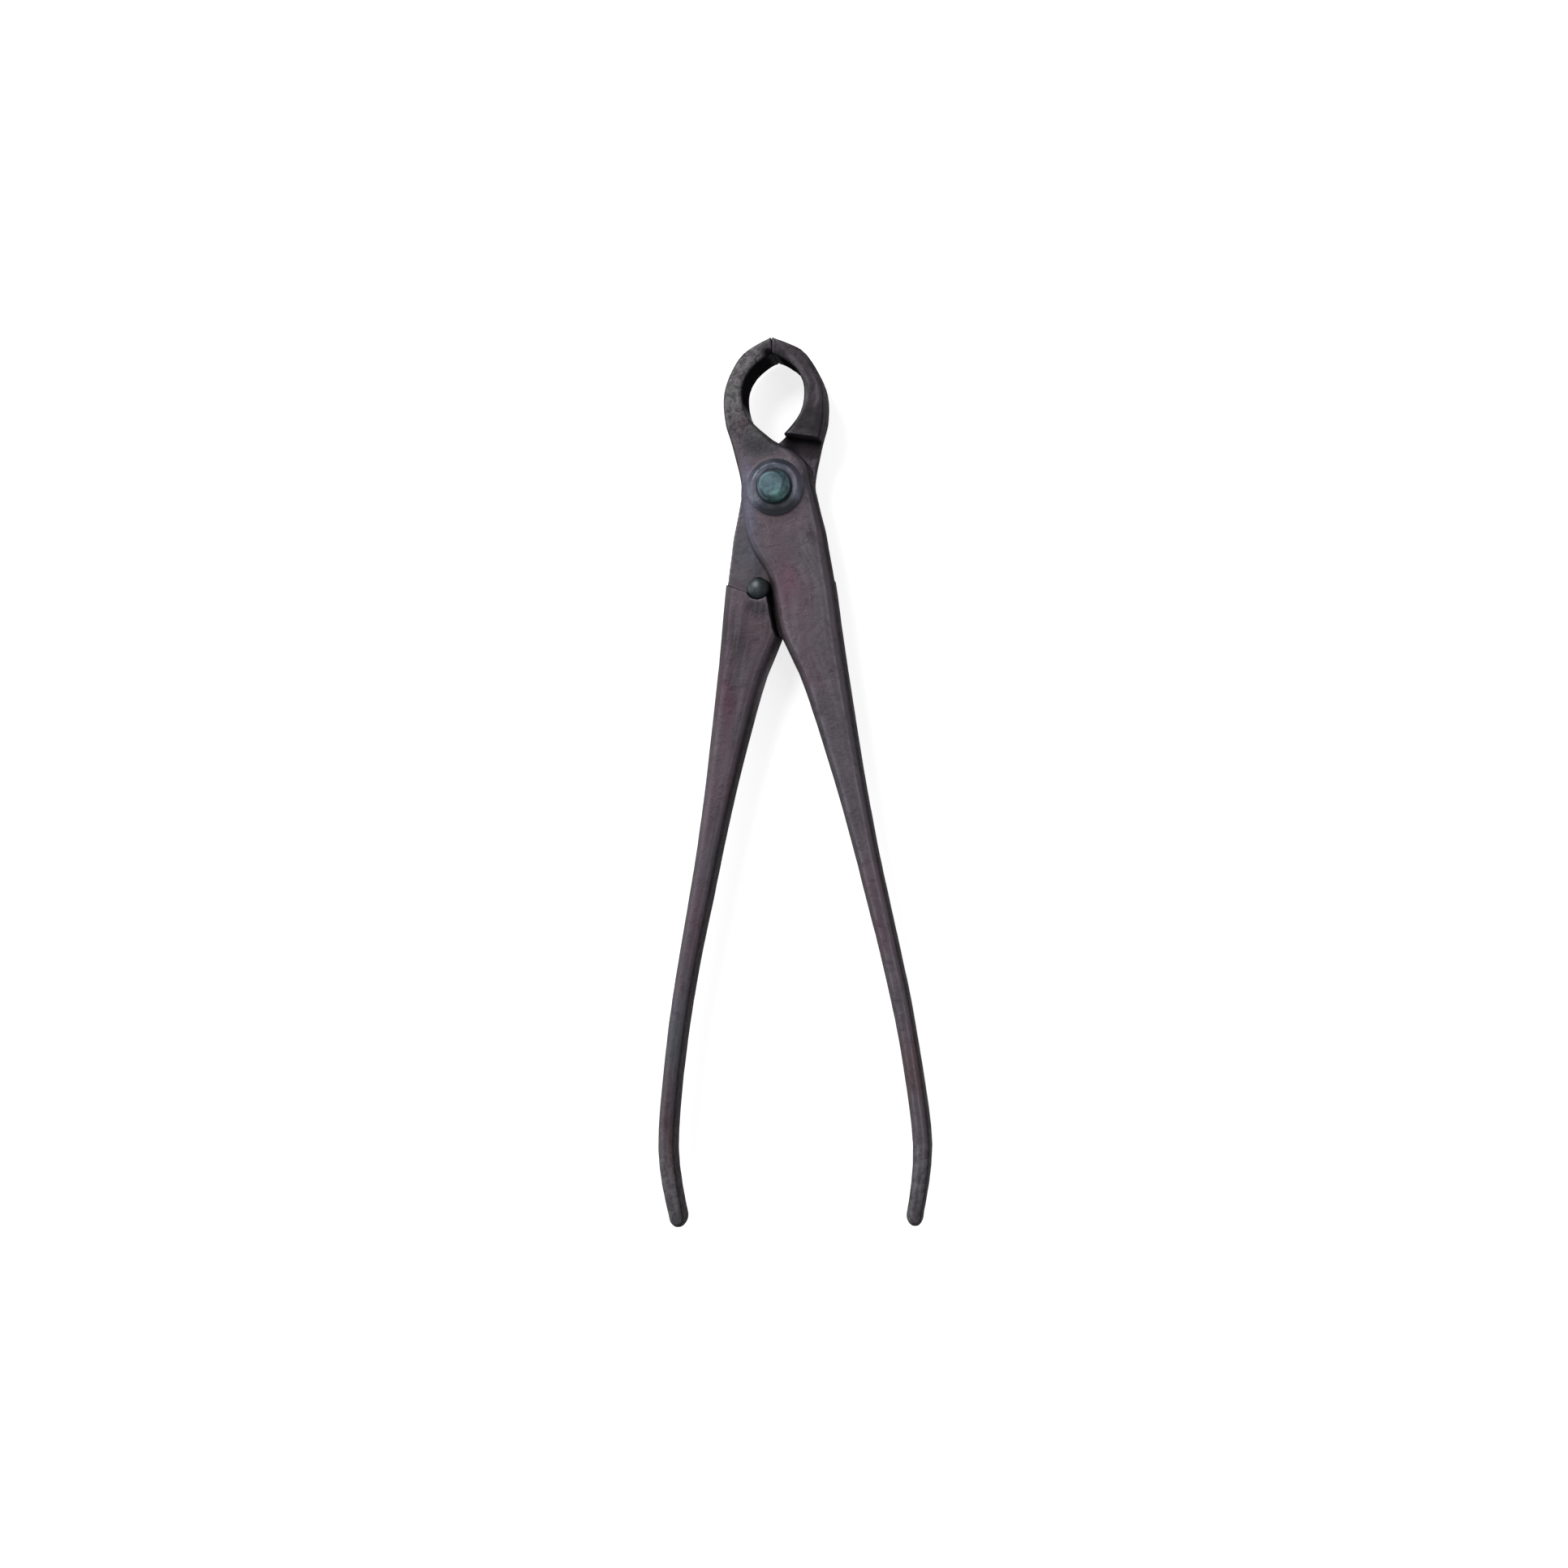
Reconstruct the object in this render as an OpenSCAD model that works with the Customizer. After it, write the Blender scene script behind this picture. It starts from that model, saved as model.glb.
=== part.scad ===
// Concave cutter: two forged steel levers that cross at a riveted lap joint.
// The part lies flat with the jaws closed. X runs across it, Y runs towards the jaws and
// Z points to the front. The origin is on the pivot axis, on the flat rear rivet head.
// Sizes are in millimetres.

/* [Overall] */
// Distance from the pivot to the ends of the handles
handle_reach = 168.5; // [156:0.5:188]
// Distance from the pivot to the tip of the closed jaws
head_reach = 35.2; // [33.4:0.2:38.4]
// Width across the two handles where they stand furthest apart
handle_span = 62.5; // [56:0.5:74]
// Width across the closed head
head_span = 23.6; // [22.4:0.1:26]

/* [Levers] */
// Thickness of each lever where it crosses the other
lap_t = 4.6; // [4:0.1:5.2]
// Thickness of the jaws, front to back
jaw_t = 10.4; // [9.6:0.1:12]
// Thickness of the grips, front to back
grip_t = 8.8; // [7.6:0.1:9.6]
// Width of the grips, side to side
grip_w = 4; // [3.6:0.1:5.2]
// Radius of the round boss about the pivot
boss_r = 8.2; // [7.8:0.1:8.7]
// Distance from the pivot to the crotch of the handles
crotch_reach = 33.7; // [31.6:0.1:36.2]
// Rounding of the long edges at the lap
edge_r = 3; // [1.6:0.1:3.4]

/* [Jaws] */
// Width of each jaw at the middle of the ring
jaw_w = 4.7; // [3.8:0.1:5.2]
// Height of the land where the two jaws meet
land_h = 3.9; // [2.6:0.1:4.2]
// Depth of the hollow ground across each cutting edge
hollow_depth = 1; // [0.5:0.1:1.4]
// Rounding of the jaw edges
jaw_edge_r = 0.9; // [0.5:0.1:1.3]

/* [Rivet and washers] */
// Diameter of the rivet shank
shank_d = 6; // [5:0.1:6.6]
// Diameter of the rivet heads
head_d = 7.9; // [7.2:0.1:9]
// Height of the rivet heads
head_h = 2.2; // [1.6:0.1:2.8]
// Diameter of the washers
washer_d = 13.2; // [11.6:0.1:14]
// Thickness of the washers
washer_t = 1; // [0.8:0.1:1.5]
// Width of the slope around the rim of each washer
washer_slope = 1.1; // [0.6:0.1:1.5]

/* [Stop pin] */
// Diameter of the stop pin
pin_d = 5.2; // [4:0.1:5.6]
// Height of the stop pin above the front lap face
pin_rise = 0.9; // [0.3:0.1:1.6]
// Distance from the crotch up to the stop pin
pin_lift = 10.6; // [9.8:0.1:11.8]

/* [Clearances] */
// Gap between the two lap faces
lap_gap = 0.06; // [0.04:0.01:0.2]
// Gap between the closed jaws
jaw_gap = 0.1; // [0.06:0.02:0.2]
// Gap between the stop pin and the front lever
pin_gap = 0.15; // [0.1:0.05:0.4]
// Radial running clearance of the levers on the rivet shank
shank_clear = 0.05; // [0.02:0.01:0.08]
// Gap between each lever and the washer on it
washer_gap = 0.03; // [0.02:0.01:0.1]
// Side gap between a lap plate and the thick part of the other handle
side_gap = 1; // [0.8:0.1:1.4]

/* [Hidden] */
$fn = 72;

// Height of the lap faces, of the washers and of the mid plane
face_z = lap_t + lap_gap / 2;
seat_rise = 0.1;
seat_z = face_z + seat_rise;
washer_z = seat_z + washer_gap;
head_z = washer_z + washer_t;
mid_z = head_z + head_h;
half_span = handle_span / 2;
half_head = head_span / 2;
shank_r = shank_d / 2;
pin_r = pin_d / 2;
seat_r = washer_d / 2 + 0.2;
washer_clear = 0.1;
rim_t = 0.45 * washer_t;

// Handle rows from the end upwards: distance along the handle, outward reach, width
handle_rows = [
    [1.000, 0.862, -0.05], [0.948, 0.945, -0.02], [0.885, 0.995, 0.00], [0.790, 0.935, 0.00],
    [0.640, 0.775, 0.03], [0.400, 0.425, 0.16], [0.265, 0.252, 0.34], [0.160, 0.142, 0.59],
    [0.070, 0.053, 0.87]
];
cap_len = 2.8;
end_taper = 0.08;
grip_r = 0.46 * grip_w;
neck_x = 1.73 * boss_r;
neck_w = 1.49 * boss_r;
handle_run = handle_reach - cap_len - crotch_reach;

// Lap rows from the crotch to the pivot: height, left edge, right edge, all in proportion
lap_rows = [
    [1.000, -0.020, 1.707], [0.850, -0.137, 1.640], [0.735, -0.210, 1.585], [0.620, -0.300, 1.524],
    [0.530, -0.480, 1.470], [0.436, -0.715, 1.409], [0.311, -0.900, 1.335], [0.169, -0.990, 1.201],
    [0.038, -1.035, 1.091]
];

// Boss rows around the pivot, in proportion to its radius: left x and y, right x and y
boss_rows = [
    [-1.015, 0.146, 1.018, 0.122], [-1.050, 0.402, 0.963, 0.457], [-1.100, 0.646, 0.841, 0.756],
    [-1.160, 0.890, 0.573, 1.018], [-1.213, 1.110, 0.268, 1.195], [-1.268, 1.329, -0.044, 1.395]
];
boss_edge_r = 0.7 * edge_r;

// Jaw rows up to the tip: outer edge x and y, inner edge x and y, in proportion
jaw_rows = [
    [-0.932, 0.370, -0.325, 0.372], [-0.977, 0.435, -0.560, 0.415], [-0.997, 0.540, -0.860, 0.483],
    [-0.981, 0.652, -1.000, 0.578], [-0.865, 0.766, -0.985, 0.691], [-0.690, 0.867, -0.740, 0.786],
    [-0.430, 0.947, -0.360, 0.851], [-0.190, 0.986, -0.150, 0.875]
];
hole_half = half_head - jaw_w;
// Over this part of the reach the lap grows to the full thickness of the jaws
jaw_rise = [0.35, 0.53];

// Rows in millimetres: left x, left y, right x, right y, half thickness, edge rounding
function handle_row(r) =
    let(out = neck_x + (half_span - neck_x) * r[1], w = grip_w + (neck_w - grip_w) * r[2],
        y = -crotch_reach - handle_run * r[0], f = max(0, r[2]))
    [out - w, y, out, y, grip_t / 2 * (1 - end_taper * r[0]) + (face_z - grip_t / 2) * f,
     grip_r + (edge_r - grip_r) * f];
function lap_row(r) =
    [r[1] * boss_r, -r[0] * crotch_reach, r[2] * boss_r, -r[0] * crotch_reach, face_z,
     boss_edge_r + (edge_r - boss_edge_r) * min(1, 2 * r[0])];
function boss_row(r) =
    [r[0] * boss_r, r[1] * boss_r, r[2] * boss_r, r[3] * boss_r, face_z, boss_edge_r];
function jaw_row(r) =
    let(rise = min(1, max(0, (r[1] - jaw_rise[0]) / (jaw_rise[1] - jaw_rise[0]))))
    [r[0] * half_head, r[1] * head_reach, r[2] * hole_half, r[3] * head_reach,
     face_z + (jaw_t / 2 - face_z) * rise, boss_edge_r + (jaw_edge_r - boss_edge_r) * rise];
tip_row = [-jaw_gap / 2, head_reach, -jaw_gap / 2, head_reach - land_h, jaw_t / 2, jaw_edge_r / 2];
rows = concat([for (r = handle_rows) handle_row(r)], [for (r = lap_rows) lap_row(r)],
              [for (r = boss_rows) boss_row(r)], [for (r = jaw_rows) jaw_row(r)], [tip_row]);

// Smooth curve through the rows, with tangents taken across the neighbouring rows
function span_of(i) = norm([rows[i+1][0] + rows[i+1][2] - rows[i][0] - rows[i][2],
                            rows[i+1][1] + rows[i+1][3] - rows[i][1] - rows[i][3]]) / 2;
function tangent(i) = let(a = max(i - 1, 0), b = min(i + 1, len(rows) - 1))
    (rows[b] - rows[a]) / ((a < i ? span_of(a) : 0) + (b > i ? span_of(i) : 0));
function between(i, t) = let(h = span_of(i), p = rows[i], q = rows[i+1])
    p * (2*t*t*t - 3*t*t + 1) + tangent(i) * (h * (t*t*t - 2*t*t + t))
    + q * (3*t*t - 2*t*t*t) + tangent(i+1) * (h * (t*t*t - t*t));
function cuts(i) = max(2, round(span_of(i) / (i < len(handle_rows) ? 4.5 : 1.6)));
smooth_rows = concat([for (i = [0 : len(rows) - 2]) for (k = [0 : cuts(i) - 1]) between(i, k / cuts(i))],
                     [rows[len(rows) - 1]]);

// Rounded end of the handle: the first row shrinks along an ellipse
function cap_row(a) = let(r = rows[0], cx = (r[0] + r[2]) / 2, w = (r[2] - r[0]) / 2 * sin(a),
                          y = r[1] - cap_len * cos(a))
    [cx - w, y, cx + w, y, r[4] * sin(a), r[5] * sin(a)];
cap_angles = [20, 38, 56, 73];
all_rows = concat([for (a = cap_angles) cap_row(a)], smooth_rows);

// One section of the lever: a rectangle with rounded corners that stands on its row. The rounding
// takes at most these shares of the width and of the half thickness.
corner_n = 4;
max_round = [0.46, 0.9];
section_n = 4 * (corner_n + 1);
function section(r) =
    let(w = norm([r[2] - r[0], r[3] - r[1]]), d = [r[2] - r[0], r[3] - r[1]] / w,
        c = [r[0] + r[2], r[1] + r[3]] / 2, e = min(r[5], max_round[0] * w, max_round[1] * r[4]))
    [for (q = [0 : 3]) for (k = [0 : corner_n])
        let(a = 90 * (q + k / corner_n), sx = q == 0 || q == 3 ? 1 : -1, sz = q < 2 ? 1 : -1,
            u = sx * (w / 2 - e) + e * cos(a), z = sz * (r[4] - e) + e * sin(a))
        [c[0] + d[0] * u, c[1] + d[1] * u, z]];

module blank() {
    n = section_n;
    m = len(all_rows);
    polyhedron(
        points = [for (r = all_rows) each section(r)],
        faces = concat(
            [[for (k = [n - 1 : -1 : 0]) k]],
            [for (i = [0 : m - 2]) for (k = [0 : n - 1]) let(k2 = (k + 1) % n)
                each [[i*n + k, i*n + k2, (i+1)*n + k], [i*n + k2, (i+1)*n + k2, (i+1)*n + k]]],
            [[for (k = [0 : n - 1]) (m - 1)*n + k]]));
}

// Where the stop pin stands: beside the left edge of the front lap, half into the step
function left_edge(y, i = 0) =
    all_rows[i+1][1] >= y ? all_rows[i][0] + (all_rows[i+1][0] - all_rows[i][0])
        * (y - all_rows[i][1]) / (all_rows[i+1][1] - all_rows[i][1]) : left_edge(y, i + 1);
pin_y = pin_lift - crotch_reach;
pin_x = left_edge(pin_y) - pin_gap - pin_r;
pin_seat = 0.01;
pin_foot = 0.2;
pin_in_step = 0.5;
step_r = norm([pin_x, pin_y]) + pin_in_step * pin_r;

// Half of the crossing is cut away so that the other lever fits in. The cut ends in a round step
// below the pivot, in a slot along the other lap and at the shoulder of the jaw.
shoulder_y = 0.372 * head_reach;
shoulder_angle = 11.3;
slot_rows = [1.02, 0.967, 0.87, 0.757, 0.635];
module lap_cut() {
    deep = jaw_t;
    slot = [for (f = slot_rows) -f * crotch_reach];
    difference() {
        translate([0, 0, lap_gap / 2 - deep]) cylinder(h = deep, r = step_r);
        translate([0, shoulder_y, lap_gap / 2 - 1.5 * deep]) rotate(shoulder_angle)
            translate([-2 * step_r, 0, 0]) cube([4 * step_r, 2 * step_r, 2 * deep]);
    }
    translate([0, 0, lap_gap / 2 - deep]) linear_extrude(deep)
        polygon(concat([for (y = slot) [side_gap - left_edge(y), y]],
                       [[-boss_r, slot[4]], [-boss_r, slot[0]]]));
}

// Hollow across the cutting edge: a shallow round groove along the outer face
hollow_r = (jaw_t * jaw_t / 4 + hollow_depth * hollow_depth) / (2 * hollow_depth);
hollow_slope = 25;
hollow_lift = 0.25;
hollow_run = [9, 5];
module hollow() {
    translate([0, head_reach + hollow_lift, 0]) rotate(hollow_slope)
        translate([-hollow_run[0], hollow_r - hollow_depth, 0]) rotate([0, 90, 0])
            cylinder(h = hollow_run[0] + hollow_run[1], r = hollow_r);
}

// One forged lever with its jaw on the left and its handle on the right
module lever() {
    difference() {
        union() {
            blank();
            translate([0, 0, lap_t / 2]) cylinder(h = seat_z - lap_t / 2, r = seat_r);
        }
        lap_cut();
        hollow();
        translate([0, 0, -face_z]) cylinder(h = 3 * face_z, r = shank_r + shank_clear);
    }
}

module front_lever() {
    color([0.30, 0.27, 0.30]) translate([0, 0, mid_z]) lever();
}

module rear_lever() {
    color([0.27, 0.25, 0.28]) translate([0, 0, mid_z]) difference() {
        rotate([0, 180, 0]) lever();
        translate([pin_x, pin_y, -jaw_t]) cylinder(h = 2 * jaw_t, r = pin_r + pin_seat);
    }
}

// Rivet with a low flat-topped dome on each side: parts of the rim radius and of the height
dome = [[1, 0.30], [0.965, 0.58], [0.89, 0.80], [0.79, 0.94], [0.68, 1]];
module pivot_rivet() {
    half = [for (p = dome) [p[0] * head_d / 2, head_z + p[1] * head_h]];
    ends = len(half) - 1;
    color([0.34, 0.40, 0.43]) translate([0, 0, mid_z]) rotate_extrude()
        polygon(concat([[0, -mid_z]], [for (i = [ends : -1 : 0]) [half[i][0], -half[i][1]]],
                       [[head_d / 2, -head_z], [shank_r, -head_z], [shank_r, head_z], [head_d / 2, head_z]],
                       half, [[0, mid_z]]));
}

// Washer with a sloped rim on its outer face
module washer() {
    bore = shank_r + washer_clear;
    rim = washer_d / 2;
    rotate_extrude()
        polygon([[bore, 0], [rim, 0], [rim, rim_t], [rim - washer_slope, washer_t], [bore, washer_t]]);
}

module front_washer() {
    color([0.36, 0.38, 0.42]) translate([0, 0, mid_z + washer_z]) washer();
}

module rear_washer() {
    color([0.36, 0.38, 0.42]) translate([0, 0, mid_z - washer_z]) rotate([180, 0, 0]) washer();
}

// Stop pin pressed through the rear lap, with a domed top: radius in proportion, drop from the top
pin_dome = [[1, 1.5], [0.95, 1], [0.78, 0.48], [0.46, 0.13], [0, 0]];
module stop_pin() {
    top = face_z + pin_rise;
    color([0.33, 0.38, 0.40]) translate([pin_x, pin_y, mid_z]) rotate_extrude()
        polygon(concat([[0, pin_foot - face_z], [pin_r, pin_foot - face_z]],
                       [for (p = pin_dome) [p[0] * pin_r, top - p[1]]]));
}

rear_lever();
front_lever();
pivot_rivet();
front_washer();
rear_washer();
stop_pin();
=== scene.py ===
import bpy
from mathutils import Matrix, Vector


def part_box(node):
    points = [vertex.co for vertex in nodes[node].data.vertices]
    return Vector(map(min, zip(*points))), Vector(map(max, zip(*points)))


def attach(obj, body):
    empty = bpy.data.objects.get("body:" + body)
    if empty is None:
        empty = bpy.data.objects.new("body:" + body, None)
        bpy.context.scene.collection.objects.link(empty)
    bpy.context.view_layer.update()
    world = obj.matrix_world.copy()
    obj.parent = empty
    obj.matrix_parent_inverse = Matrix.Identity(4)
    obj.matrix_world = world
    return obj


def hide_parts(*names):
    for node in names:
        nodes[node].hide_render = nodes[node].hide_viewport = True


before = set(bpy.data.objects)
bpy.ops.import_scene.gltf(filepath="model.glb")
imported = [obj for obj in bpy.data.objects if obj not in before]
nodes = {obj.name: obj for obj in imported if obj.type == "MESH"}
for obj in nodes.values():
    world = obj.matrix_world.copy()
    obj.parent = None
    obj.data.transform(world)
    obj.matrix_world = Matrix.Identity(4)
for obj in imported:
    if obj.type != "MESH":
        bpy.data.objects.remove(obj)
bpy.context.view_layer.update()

import math

import bmesh
import bpy
import numpy as np
from mathutils import Matrix, Vector, noise

MM = 0.001
scene = bpy.context.scene
scene.view_settings.view_transform = "Standard"

# Height of the mid plane of the levers, and place of the stop pin, in metres
rivet_low, rivet_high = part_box("pivot_rivet")
MID = (rivet_low[2] + rivet_high[2]) / 2
pin_low, pin_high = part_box("stop_pin")
pin_at = Vector([(a + b) / 2 for a, b in zip(pin_low, pin_high)])

# Radius of the round step, which lies a little beyond the pin, and its corner beside the pin that keeps its
# painted shade, in mm
PIN_TO_STEP = 1.3
STEP_R = math.hypot(*pin_at.xy) / MM + PIN_TO_STEP
CORNER_X = -5.0
CORNER_Y = -26.0

# Middle and foot of the ring that the jaws form, and line of the shoulder that a jaw has over the
# other lever's lap face, in mm
RING_Y = 22.5
RING_FOOT_Y = 15.5
SHOULDER_Y = 13.09
SHOULDER_SLOPE = 0.2

# Middle of the part of the left handle whose inside wall gets painted light, in mm
LIT_WALL_Y = -44.0

# Edge of the cells in which a lever's surface is rebuilt, in mm, and how often it is then smoothed
CELL = 0.24
EASE_PASSES = 4

# Marks of the forging, as noise scale and depth in mm: broad swells, hammer dents, pits of the jaws
SWELL_SCALE = 90
SWELL_DEPTH = 0.09
DENT_SCALE = 330
DENT_DEPTH = 0.05
PIT_SCALE = 1100
PIT_DEPTH = 0.12

# How far each meeting face moves, in mm: nearly all of its half of the gap between the CAD jaws
SEAM = 0.042


# Materials

def srgb(r, g, b):
    def lin(c):
        c /= 255
        return c / 12.92 if c <= 0.04045 else ((c + 0.055) / 1.055) ** 2.4
    return (lin(r), lin(g), lin(b), 1.0)


def palette(colours):
    return {name: srgb(*rgb) for name, rgb in colours.items()}


FORGED = palette({
    "brown": (84, 71, 78), "violet": (77, 71, 79), "grey": (88, 84, 88),
    "jaw dark": (57, 56, 59), "jaw light": (103, 103, 104),
    "dark speck": (36, 34, 37), "light speck": (116, 108, 106),
    "lilac_highlight": (87, 86, 104), "teal": (70, 77, 81), "rose": (94, 63, 77), "rust": (82, 57, 57),
    "pale_highlight": (92, 95, 93), "shade": (39, 35, 40), "grain": (100, 93, 99),
    "dark streak": (42, 36, 41), "light streak": (98, 90, 100),
    "flake": (52, 46, 51), "pinhole": (40, 35, 39),
    "brow_highlight": (116, 109, 118), "worn edge": (118, 113, 122),
    "scale and shade dark": (22, 19, 22), "scale and shade light": (42, 36, 40),
    "painted_shadow": (17, 16, 18), "hollow": (20, 18, 21), "ground": (120, 121, 124),
})
RIVET_BLUE = palette({
    "base": (54, 67, 75), "worn": (73, 88, 97), "side": (98, 132, 137), "tint": (98, 140, 132),
})
WASHER_BLUE = palette({
    "base": (68, 73, 82), "worn": (97, 98, 110), "side": (40, 42, 53), "tint": (80, 65, 80),
})
PIN_BLUE = palette({
    "base": (57, 62, 65), "worn": (82, 86, 90), "side": (26, 36, 38), "tint": (38, 60, 58),
})
# Dark of grime and of painted shade and shadow on the turned pieces
GRIME_AND_SHADE = srgb(20, 21, 24)


class Tree:
    """Keeps a material's node graph short. Its colour grows in layers."""

    def __init__(self, name):
        self.mat = bpy.data.materials.new(name)
        self.mat.use_nodes = True
        self.nt = self.mat.node_tree
        self.nt.nodes.clear()
        out = self.nt.nodes.new("ShaderNodeOutputMaterial")
        self.shader = self.nt.nodes.new("ShaderNodeBsdfPrincipled")
        self.link(self.shader.outputs[0], out.inputs["Surface"])
        self.coord = self.nt.nodes.new("ShaderNodeTexCoord").outputs["Object"]
        self.colour = None

    def link(self, a, b):
        self.nt.links.new(a, b)

    def put(self, socket, value):
        if hasattr(value, "is_linked"):
            self.link(value, socket)
        else:
            socket.default_value = value

    def attribute_node(self, name):
        n = self.nt.nodes.new("ShaderNodeAttribute")
        n.attribute_name = name
        return n

    def attr(self, name):
        return self.attribute_node(name).outputs["Fac"]

    def noise(self, scale, detail, rough, distort=0.0, along=None):
        n = self.nt.nodes.new("ShaderNodeTexNoise")
        vec = self.attribute_node(along).outputs["Vector"] if along else self.coord
        self.link(vec, n.inputs["Vector"])
        n.inputs["Scale"].default_value = scale
        n.inputs["Detail"].default_value = detail
        n.inputs["Roughness"].default_value = rough
        n.inputs["Distortion"].default_value = distort
        return n.outputs["Fac"]

    def ramp(self, fac, lo, hi, a=0.0, b=1.0):
        """Smooth change from a to b while fac goes from lo to hi."""
        n = self.nt.nodes.new("ShaderNodeMapRange")
        n.interpolation_type = "SMOOTHSTEP"
        self.link(fac, n.inputs["Value"])
        n.inputs["From Min"].default_value = lo
        n.inputs["From Max"].default_value = hi
        n.inputs["To Min"].default_value = a
        n.inputs["To Max"].default_value = b
        return n.outputs["Result"]

    def math(self, op, a, b):
        n = self.nt.nodes.new("ShaderNodeMath")
        n.operation = op
        self.put(n.inputs[0], a)
        self.put(n.inputs[1], b)
        return n.outputs[0]

    def times(self, a, b):
        return self.math("MULTIPLY", a, b)

    def where(self, name, amount):
        """Amount of a layer, scaled by the mesh attribute that says where it lies."""
        return self.times(self.attr(name), amount)

    def mix(self, fac, a, b):
        n = self.nt.nodes.new("ShaderNodeMix")
        n.data_type = "RGBA"
        self.put(n.inputs[0], fac)
        self.put(n.inputs[6], a)
        self.put(n.inputs[7], b)
        return n.outputs[2]

    def over(self, fac, colour):
        """Lays another colour over what is there."""
        self.colour = self.mix(fac, self.colour, colour)

    def bump(self, height, strength, distance, normal=None):
        n = self.nt.nodes.new("ShaderNodeBump")
        n.inputs["Strength"].default_value = strength
        n.inputs["Distance"].default_value = distance
        self.link(height, n.inputs["Height"])
        if normal is not None:
            self.link(normal, n.inputs["Normal"])
        return n.outputs[0]

    def done(self, rough, metallic, specular, normal=None):
        s = self.shader
        self.put(s.inputs["Base Color"], self.colour)
        self.put(s.inputs["Roughness"], rough)
        self.put(s.inputs["Metallic"], metallic)
        self.put(s.inputs["Specular IOR Level"], specular)
        if normal is not None:
            self.link(normal, s.inputs["Normal"])
        return self.mat


def lever_steel(name):
    """Oxide skin of a hand forging: mauve brown to grey, with painted highlights, black with scale and
    painted shade on the sides, and with painted shade in hollows.
    """
    t = Tree(name)
    wide = t.noise(48, 3, 0.5)
    mid = t.noise(260, 6, 0.62, distort=0.6)
    flake = t.noise(620, 5, 0.6, distort=0.3)
    fine = t.noise(1700, 4, 0.65)
    grain = t.noise(480, 4, 0.6, along="along")
    streak = t.noise(900, 3, 0.6, along="along")
    dark_speck = t.noise(820, 3, 0.5, distort=0.8)
    light_speck = t.noise(1150, 3, 0.5, distort=0.8)

    # The skin itself, then the greyer steel of the jaws and grip ends, and specks
    t.colour = t.mix(t.ramp(wide, 0.40, 0.62), FORGED["brown"], FORGED["violet"])
    t.over(t.ramp(mid, 0.46, 0.74, 0.0, 0.6), FORGED["grey"])
    jaw = t.mix(t.ramp(flake, 0.42, 0.58), FORGED["jaw dark"], FORGED["jaw light"])
    t.over(t.where("jaw", t.ramp(mid, 0.25, 0.60, 0.55, 1.0)), jaw)
    t.over(t.where("speck", t.ramp(dark_speck, 0.56, 0.63, 0.0, 0.85)), FORGED["dark speck"])
    t.over(t.where("speck", t.ramp(light_speck, 0.58, 0.65, 0.0, 0.7)), FORGED["light speck"])

    # Heat tints and stains, painted highlights (lilac and pale) and painted shade
    t.over(t.where("lilac_highlight", 0.85), FORGED["lilac_highlight"])
    t.over(t.where("teal", 0.8), FORGED["teal"])
    t.over(t.where("rose", 0.85), FORGED["rose"])
    t.over(t.where("rust", t.ramp(flake, 0.34, 0.62, 0.95, 0.45)), FORGED["rust"])
    t.over(t.where("pale_highlight", t.ramp(flake, 0.36, 0.60, 0.3, 1.0)), FORGED["pale_highlight"])
    t.over(t.where("shade", t.ramp(mid, 0.30, 0.70, 0.95, 0.70)), FORGED["shade"])

    # Grain and streaks along the lever, flakes and pinholes
    t.over(t.ramp(grain, 0.48, 0.70, 0.0, 0.40), FORGED["grain"])
    t.over(t.where("streak", t.ramp(streak, 0.40, 0.54, 0.8, 0.0)), FORGED["dark streak"])
    t.over(t.where("streak", t.ramp(streak, 0.52, 0.64, 0.0, 0.6)), FORGED["light streak"])
    t.over(t.ramp(flake, 0.56, 0.64, 0.0, 0.35), FORGED["flake"])
    t.over(t.ramp(fine, 0.55, 0.78, 0.0, 0.5), FORGED["pinhole"])

    # Worn edges, painted highlight on the brows, scale with painted shade on the walls, painted shadow and
    # painted shade in the corners, and bare steel at the cut
    wear = t.times(t.ramp(t.attr("edge"), 0.15, 0.75), t.ramp(mid, 0.34, 0.62, 0.15, 1.0))
    t.over(t.where("brow_highlight", t.ramp(mid, 0.34, 0.62, 0.15, 0.7)), FORGED["brow_highlight"])
    t.over(t.times(wear, 0.55), FORGED["worn edge"])
    scale = t.mix(t.ramp(flake, 0.40, 0.66), FORGED["scale and shade dark"], FORGED["scale and shade light"])
    t.over(t.where("wall", t.ramp(mid, 0.30, 0.66, 0.98, 0.84)), scale)
    t.over(t.attr("painted_shadow"), FORGED["painted_shadow"])
    t.over(t.ramp(t.attr("hollow"), 0.15, 0.9, 0.0, 0.9), FORGED["hollow"])
    t.over(t.attr("ground"), FORGED["ground"])

    # Scale with painted shade is dull, and the painted shadow has no shine at all
    dull = t.math("MAXIMUM", t.attr("wall"), t.attr("painted_shadow"))
    bright = t.times(t.ramp(dull, 0.0, 1.0, 1.0, 0.15), t.ramp(t.attr("painted_shadow"), 0.3, 0.9, 1.0, 0.0))
    rough = t.math("ADD", t.ramp(mid, 0.35, 0.70, 0.48, 0.62), t.times(dull, 0.25))
    rough = t.math("SUBTRACT", rough, t.where("brow_highlight", 0.10))
    metal = t.times(t.ramp(fine, 0.50, 0.80, 0.60, 0.40), bright)
    normal = t.bump(fine, 0.35, 0.00009)
    normal = t.bump(t.ramp(flake, 0.54, 0.62), 0.35, 0.00006, normal)
    normal = t.bump(mid, 0.55, 0.00030, normal)
    normal = t.bump(grain, 0.20, 0.00012, normal)
    return t.done(rough, metal, t.times(bright, 0.35), normal)


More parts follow.
